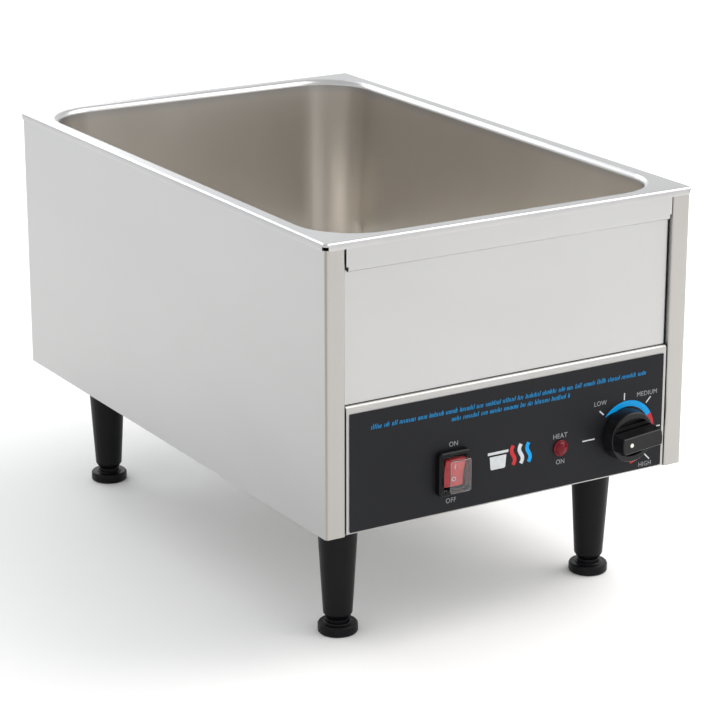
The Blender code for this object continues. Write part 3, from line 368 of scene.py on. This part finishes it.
def smooth_group():
    """Faces are smooth, and edges past the angle stay sharp."""
    group = bpy.data.node_groups.new("smooth_faces", "GeometryNodeTree")
    group.interface.new_socket("Geometry", in_out="INPUT", socket_type="NodeSocketGeometry")
    group.interface.new_socket("Angle", in_out="INPUT", socket_type="NodeSocketFloat")
    group.interface.new_socket("Geometry", in_out="OUTPUT", socket_type="NodeSocketGeometry")
    start = group.nodes.new("NodeGroupInput")
    end = group.nodes.new("NodeGroupOutput")
    angle = group.nodes.new("GeometryNodeInputMeshEdgeAngle")
    small = group.nodes.new("FunctionNodeCompare")
    small.data_type = "FLOAT"
    small.operation = "LESS_EQUAL"
    faces = group.nodes.new("GeometryNodeSetShadeSmooth")
    faces.domain = "FACE"
    edges = group.nodes.new("GeometryNodeSetShadeSmooth")
    edges.domain = "EDGE"
    group.links.new(start.outputs["Geometry"], faces.inputs["Geometry"])
    group.links.new(faces.outputs["Geometry"], edges.inputs["Geometry"])
    group.links.new(angle.outputs["Unsigned Angle"], small.inputs["A"])
    group.links.new(start.outputs["Angle"], small.inputs["B"])
    group.links.new(small.outputs["Result"], edges.inputs["Shade Smooth"])
    group.links.new(edges.outputs["Geometry"], end.inputs["Geometry"])
    return group


SMOOTH = smooth_group()
ANGLE_INPUT = next(item.identifier for item in SMOOTH.interface.items_tree if item.name == "Angle")


def soften(obj, bevel, steps=2, bevel_over=28, smooth_under=31):
    """Rounds the sharp edges by a small bevel and shades the curved faces smooth, by modifiers only."""
    weld = obj.modifiers.new("weld", "WELD")
    weld.merge_threshold = 0.001 * MM
    flat = obj.modifiers.new("flat", "DECIMATE")
    flat.decimate_type = "DISSOLVE"
    flat.angle_limit = math.radians(0.6)
    if bevel:
        edge = obj.modifiers.new("edge", "BEVEL")
        edge.width = bevel
        edge.segments = steps
        edge.limit_method = "ANGLE"
        edge.angle_limit = math.radians(bevel_over)
        edge.use_clamp_overlap = True
    smooth = obj.modifiers.new("smooth", "NODES")
    smooth.node_group = SMOOTH
    smooth[ANGLE_INPUT] = math.radians(smooth_under)
    weighted = obj.modifiers.new("weighted", "WEIGHTED_NORMAL")
    weighted.keep_sharp = True
    weighted.weight = 100


BEVELS = {
    "well_pan": 0.4 * MM,
    "outer_casing": 0.18 * MM,
    "front_top_rail": 0.6 * MM,
    "front_upper_panel": 0.25 * MM,
    "control_panel": 0.25 * MM,
    "control_overlay": 0.06 * MM,
    "switch_frame": 0.3 * MM,
    "switch_body": 0.2 * MM,
    "switch_rocker": 0.5 * MM,
    "switch_cover": 0.15 * MM,
    "lamp_lens": 0.15 * MM,
    "thermostat_knob": 0.35 * MM,
    "cable_gland": 0.3 * MM,
    "cable_gland_nut": 0.3 * MM,
    "base_pan": 0.2 * MM,
    "insulation_wrap": 1.0 * MM,
    "insulation_slab": 1.0 * MM,
}


def bevel_for(name):
    if name in BEVELS:
        return BEVELS[name]
    if name.startswith(("leg_nut", "clamp_nut", "lamp_nut", "base_screw")):
        return 0.25 * MM
    if name.startswith(("leg_", "foot_")):
        return 0.5 * MM
    if name.startswith("wire_"):
        return 0
    return 0.2 * MM


# Nodes whose finish is another one than their slot's
FINISH = {"control_panel": "panel_steel"}


def dress_nodes():
    slots = {row["node"]: row["material_slot"] for row in frame["record"]["subparts"]}
    for name, obj in nodes.items():
        finish = materials[FINISH.get(name, slots[name])]
        obj.data.materials.clear()
        obj.data.materials.append(finish)
        soften(obj, bevel_for(name))


# ---------------------------------------------------------------- prints

def new_object(name, bm, finish, body):
    mesh = bpy.data.meshes.new(name)
    bmesh.ops.recalc_face_normals(bm, faces=bm.faces)
    bm.to_mesh(mesh)
    bm.free()
    mesh.materials.append(finish)
    obj = bpy.data.objects.new(name, mesh)
    bpy.context.scene.collection.objects.link(obj)
    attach(obj, body)
    return obj


def label_point(x, up, out):
    """A point on the label: x from the middle, up from the casing's bottom, out in front of its face."""
    return Vector((x, LABEL_FACE - out, CASE_BOTTOM + up))


def add_print(bm, outline, place=label_point):
    """A thin flat print with that outline, run the same way round, a little sunk in what it lies on."""
    back = [bm.verts.new(place(x, up, -INK_SUNK)) for x, up in outline]
    front = [bm.verts.new(place(x, up, INK_THICK)) for x, up in outline]
    bm.faces.new(front)
    bm.faces.new(back[::-1])
    for k in range(len(outline)):
        nxt = (k + 1) % len(outline)
        bm.faces.new((back[k], back[nxt], front[nxt], front[k]))


def add_band(bm, inner, outer, place=label_point):
    """A thin strip between two lines with the same number of points."""
    rows = []
    for line in (inner, outer):
        for out in (-INK_SUNK, INK_THICK):
            rows.append([bm.verts.new(place(x, up, out)) for x, up in line])
    inner_back, inner_front, outer_back, outer_front = rows
    for k in range(len(inner) - 1):
        bm.faces.new((inner_front[k], inner_front[k + 1], outer_front[k + 1], outer_front[k]))
        bm.faces.new((inner_back[k], outer_back[k], outer_back[k + 1], inner_back[k + 1]))
        bm.faces.new((inner_back[k], inner_back[k + 1], inner_front[k + 1], inner_front[k]))
        bm.faces.new((outer_back[k], outer_front[k], outer_front[k + 1], outer_back[k + 1]))
    for k in (0, -1):
        bm.faces.new((inner_back[k], inner_front[k], outer_front[k], outer_back[k]))


def stroke(points, width):
    """The two edges of a line of that width through the points."""
    left, right = [], []
    for k, point in enumerate(points):
        before = Vector(points[max(k - 1, 0)])
        after = Vector(points[min(k + 1, len(points) - 1)])
        along = (after - before).normalized()
        across = Vector((-along.y, along.x)) * width / 2
        left.append(tuple(Vector(point) + across))
        right.append(tuple(Vector(point) - across))
    return left, right


def arc(centre, radius, start, end, count):
    angles = [math.radians(start + (end - start) * k / (count - 1)) for k in range(count)]
    return [(centre[0] + radius * math.cos(a), centre[1] + radius * math.sin(a)) for a in angles]


# Letters are a little narrower than the font's own
LETTER_WIDTH = 0.94

WORDS = (
    # word, middle across, middle up, height of capitals, all in mm
    ("ON", -58.9, 61.9, 4.3),
    ("OFF", -60.9, 11.9, 4.3),
    ("HEAT", 51.0, 48.8, 4.3),
    ("ON", 51.4, 25.3, 4.3),
    ("LOW", 93.0, 70.8, 4.2),
    ("MEDIUM", 143.1, 71.9, 4.2),
    ("HIGH", 143.2, 6.2, 4.2),
)


def make_words():
    bm = bmesh.new()
    for k, (text, x, up, capital) in enumerate(WORDS):
        curve = bpy.data.curves.new(f"word_{k}", "FONT")
        curve.body = text
        curve.size = 1.0
        curve.space_character = 1.06
        curve.resolution_u = 4
        curve.extrude = 0.5
        holder = bpy.data.objects.new(f"word_{k}", curve)
        bpy.context.scene.collection.objects.link(holder)
        bpy.context.view_layer.update()
        mesh = bpy.data.meshes.new_from_object(holder)
        bpy.data.objects.remove(holder)
        xs = [v.co.x for v in mesh.vertices]
        ys = [v.co.y for v in mesh.vertices]
        size = capital * MM / (max(ys) - min(ys))
        middle_x = (max(xs) + min(xs)) / 2
        middle_y = (max(ys) + min(ys)) / 2
        for v in mesh.vertices:
            out = INK_THICK if v.co.z > 0 else -INK_SUNK
            across = x * MM + (v.co.x - middle_x) * size * LETTER_WIDTH
            v.co = label_point(across, up * MM + (v.co.y - middle_y) * size, out)
        bm.from_mesh(mesh)
        bpy.data.meshes.remove(mesh)
    bmesh.ops.remove_doubles(bm, verts=bm.verts, dist=0.0001 * MM)
    new_object("label_words", bm, materials["ink_grey"], "housing")


def make_scale():
    """Tick marks round the knob, and the band that goes from blue to red."""
    centre = (KNOB_AT.x, KNOB_AT.z - CASE_BOTTOM)
    bm = bmesh.new()
    ticks = ((90, 30, 36.5), (45, 33.5, 40.5), (0, 36, 40), (-45, 33, 41.5), (180, 31, 44), (137, 30, 36))
    for angle, start, end in ticks:
        direction = Vector((math.cos(math.radians(angle)), math.sin(math.radians(angle))))
        ends = [tuple(Vector(centre) + direction * r * MM) for r in (start, end)]
        add_band(bm, *stroke(ends, 1.15 * MM))
    new_object("label_ticks", bm, materials["ink_white"], "housing")

    band_at = (centre[0] + 3.2 * MM, centre[1] - 0.8 * MM)
    inner, outer = 24.6 * MM, 29.8 * MM
    for name, start, end, finish in (("blue", 141, 30, "ink_blue"), ("red", 29.4, -80, "ink_red")):
        bm = bmesh.new()
        inside = arc(band_at, inner, start, end, 40)
        outside = arc(band_at, outer, start, end, 40)
        if name == "blue":
            # the band starts in a point on its outer edge
            for k in range(8):
                share = k / 8
                inside[k] = tuple(Vector(outside[k]).lerp(Vector(inside[k]), 0.04 + 0.96 * share))
        add_band(bm, inside, outside)
        new_object(f"heat_band_{name}", bm, materials[finish], "housing")


def make_notice_rows():
    """Two rows of slanted dashes in place of the printed notice."""
    bm = bmesh.new()
    rng = random.Random(7)
    for start, end, up, height in ((-140, 142, 90.4, 3.0), (-61, 60, 83.4, 3.0)):
        x = start
        while x < end:
            strokes = rng.choice((4, 5, 7, 9, 11))
            for _ in range(strokes):
                if x > end:
                    break
                top = height * (1.4 if rng.random() < 0.2 else rng.choice((0.95, 1.0)))
                outline = [
                    ((x + DASH_LEAN * h + w) * MM, (up - height / 2 + h) * MM)
                    for w, h in ((0, 0), (DASH, 0), (DASH, top), (0, top))
                ]
                add_print(bm, outline)
                x += DASH + rng.choice((0.75, 0.95, 1.2))
            x += 1.9
    new_object("notice_rows", bm, materials["ink_blue"], "housing")


def make_pictogram():
    """A food pan with steam over it."""
    bm = bmesh.new()
    pan = [(-22, 42.5), (-21, 31.6), (-20, 30.8), (-7, 30.8), (-6, 31.6), (-5, 42.5)]
    add_print(bm, [(x * MM, up * MM) for x, up in pan[::-1]])
    rim = [(-24, 46.6), (-24, 44.2), (-3, 44.2), (-3, 46.6)]
    add_print(bm, [(x * MM, up * MM) for x, up in rim])
    new_object("pictogram_pan", bm, materials["ink_white"], "housing")
    for k, (x, finish) in enumerate(((2, "ink_red"), (10, "ink_white"), (18, "ink_blue"))):
        bm = bmesh.new()
        points = []
        for step in range(25):
            up = 31.5 + 17.5 * step / 24
            points.append(((x + 1.7 * math.sin(2 * math.pi * step / 24)) * MM, up * MM))
        add_band(bm, *stroke(points, 3.6 * MM))
        new_object(f"pictogram_steam_{k + 1}", bm, materials[finish], "housing")


def rocker_point(x, along, out):
    """A point on the rocker's face: x from its middle, along its face from the pivot, out of it."""
    along_mm = along / MM
    height = ROCKER_FACE[0][1]
    for (low, low_height), (high, high_height) in zip(ROCKER_FACE, ROCKER_FACE[1:]):
        if low <= along_mm <= high:
            height = low_height + (high_height - low_height) * (along_mm - low) / (high - low)
    turn = Matrix.Rotation(math.pi / 2 + ROCKER_TILT, 4, "X")
    return ROCKER_AT + turn @ Vector((x, along, height * MM + out + 0.02 * MM))


def make_rocker_marks():
    bm = bmesh.new()
    line = [(0, 3.6 * MM), (0, 6.2 * MM), (0, 8.2 * MM)]
    add_band(bm, *stroke(line, 0.8 * MM), place=rocker_point)
    centre = (0, -5.8 * MM)
    add_band(bm, arc(centre, 1.35 * MM, 0, 360, 33), arc(centre, 2.1 * MM, 0, 360, 33), place=rocker_point)
    bmesh.ops.remove_doubles(bm, verts=bm.verts, dist=0.0001 * MM)
    new_object("rocker_marks", bm, materials["ink_white"], "power_rocker")


def make_knob_dot():
    """The white dot near the pointer end of the grip bar."""
    bm = bmesh.new()
    left = Vector((-math.cos(KNOB_REST), 0, -math.sin(KNOB_REST)))
    middle = Vector((KNOB_AT.x, KNOB_BAR_FRONT, KNOB_AT.z)) + left * DOT_OUT
    rings = []
    for radius, out in ((1.9, -0.33), (1.9, -0.12), (1.75, -0.05), (0.9, -0.02)):
        ring = []
        for k in range(24):
            a = 2 * math.pi * k / 24
            offset = Vector((radius * math.cos(a), -out, radius * math.sin(a))) * MM
            ring.append(bm.verts.new(middle + offset))
        rings.append(ring)
    for low, high in zip(rings, rings[1:]):
        for k in range(24):
            nxt = (k + 1) % 24
            bm.faces.new((low[k], low[nxt], high[nxt], high[k]))
    bm.faces.new(rings[-1])
    bm.faces.new(rings[0][::-1])
    new_object("knob_dot", bm, materials["dot_white"], "heat_knob")


def make_cover_edge_highlight():
    """A painted highlight: a light grey, part-clear ring round the front of the clear cover, where its wall
    catches the light.
    """
    low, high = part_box("switch_cover")
    middle = Vector(((low.x + high.x) / 2, low.y + 0.3 * MM, (low.z + high.z) / 2))
    bm = bmesh.new()
    rings = []
    for k, (side, up) in enumerate(((1, 1), (-1, 1), (-1, -1), (1, -1))):
        for step in range(5):
            a = math.radians(90 * k + 90 * step / 4)
            outward = Vector((math.cos(a), 0, math.sin(a)))
            centre = Vector((side * (COVER_HALF_X - COVER_CORNER), 0, up * (COVER_HALF_Z - COVER_CORNER)))
            at = middle + centre + outward * COVER_CORNER
            ring = []
            for turn in range(8):
                t = math.tau * turn / 8
                offset = outward * math.cos(t) + Vector((0, math.sin(t), 0))
                ring.append(bm.verts.new(at + offset * COVER_EDGE))
            rings.append(ring)
    for k, ring in enumerate(rings):
        after = rings[(k + 1) % len(rings)]
        for turn in range(8):
            nxt = (turn + 1) % 8
            bm.faces.new((ring[turn], ring[nxt], after[nxt], after[turn]))
    new_object("cover_edge_highlight", bm, materials["cover_edge_painted_highlight"], "housing")


# ---------------------------------------------------------------- the scene

make_studio()
make_materials()
dress_nodes()
make_words()
make_scale()
make_notice_rows()
make_pictogram()
make_rocker_marks()
make_knob_dot()
make_cover_edge_highlight()

bpy.context.scene.view_settings.view_transform = "Standard"
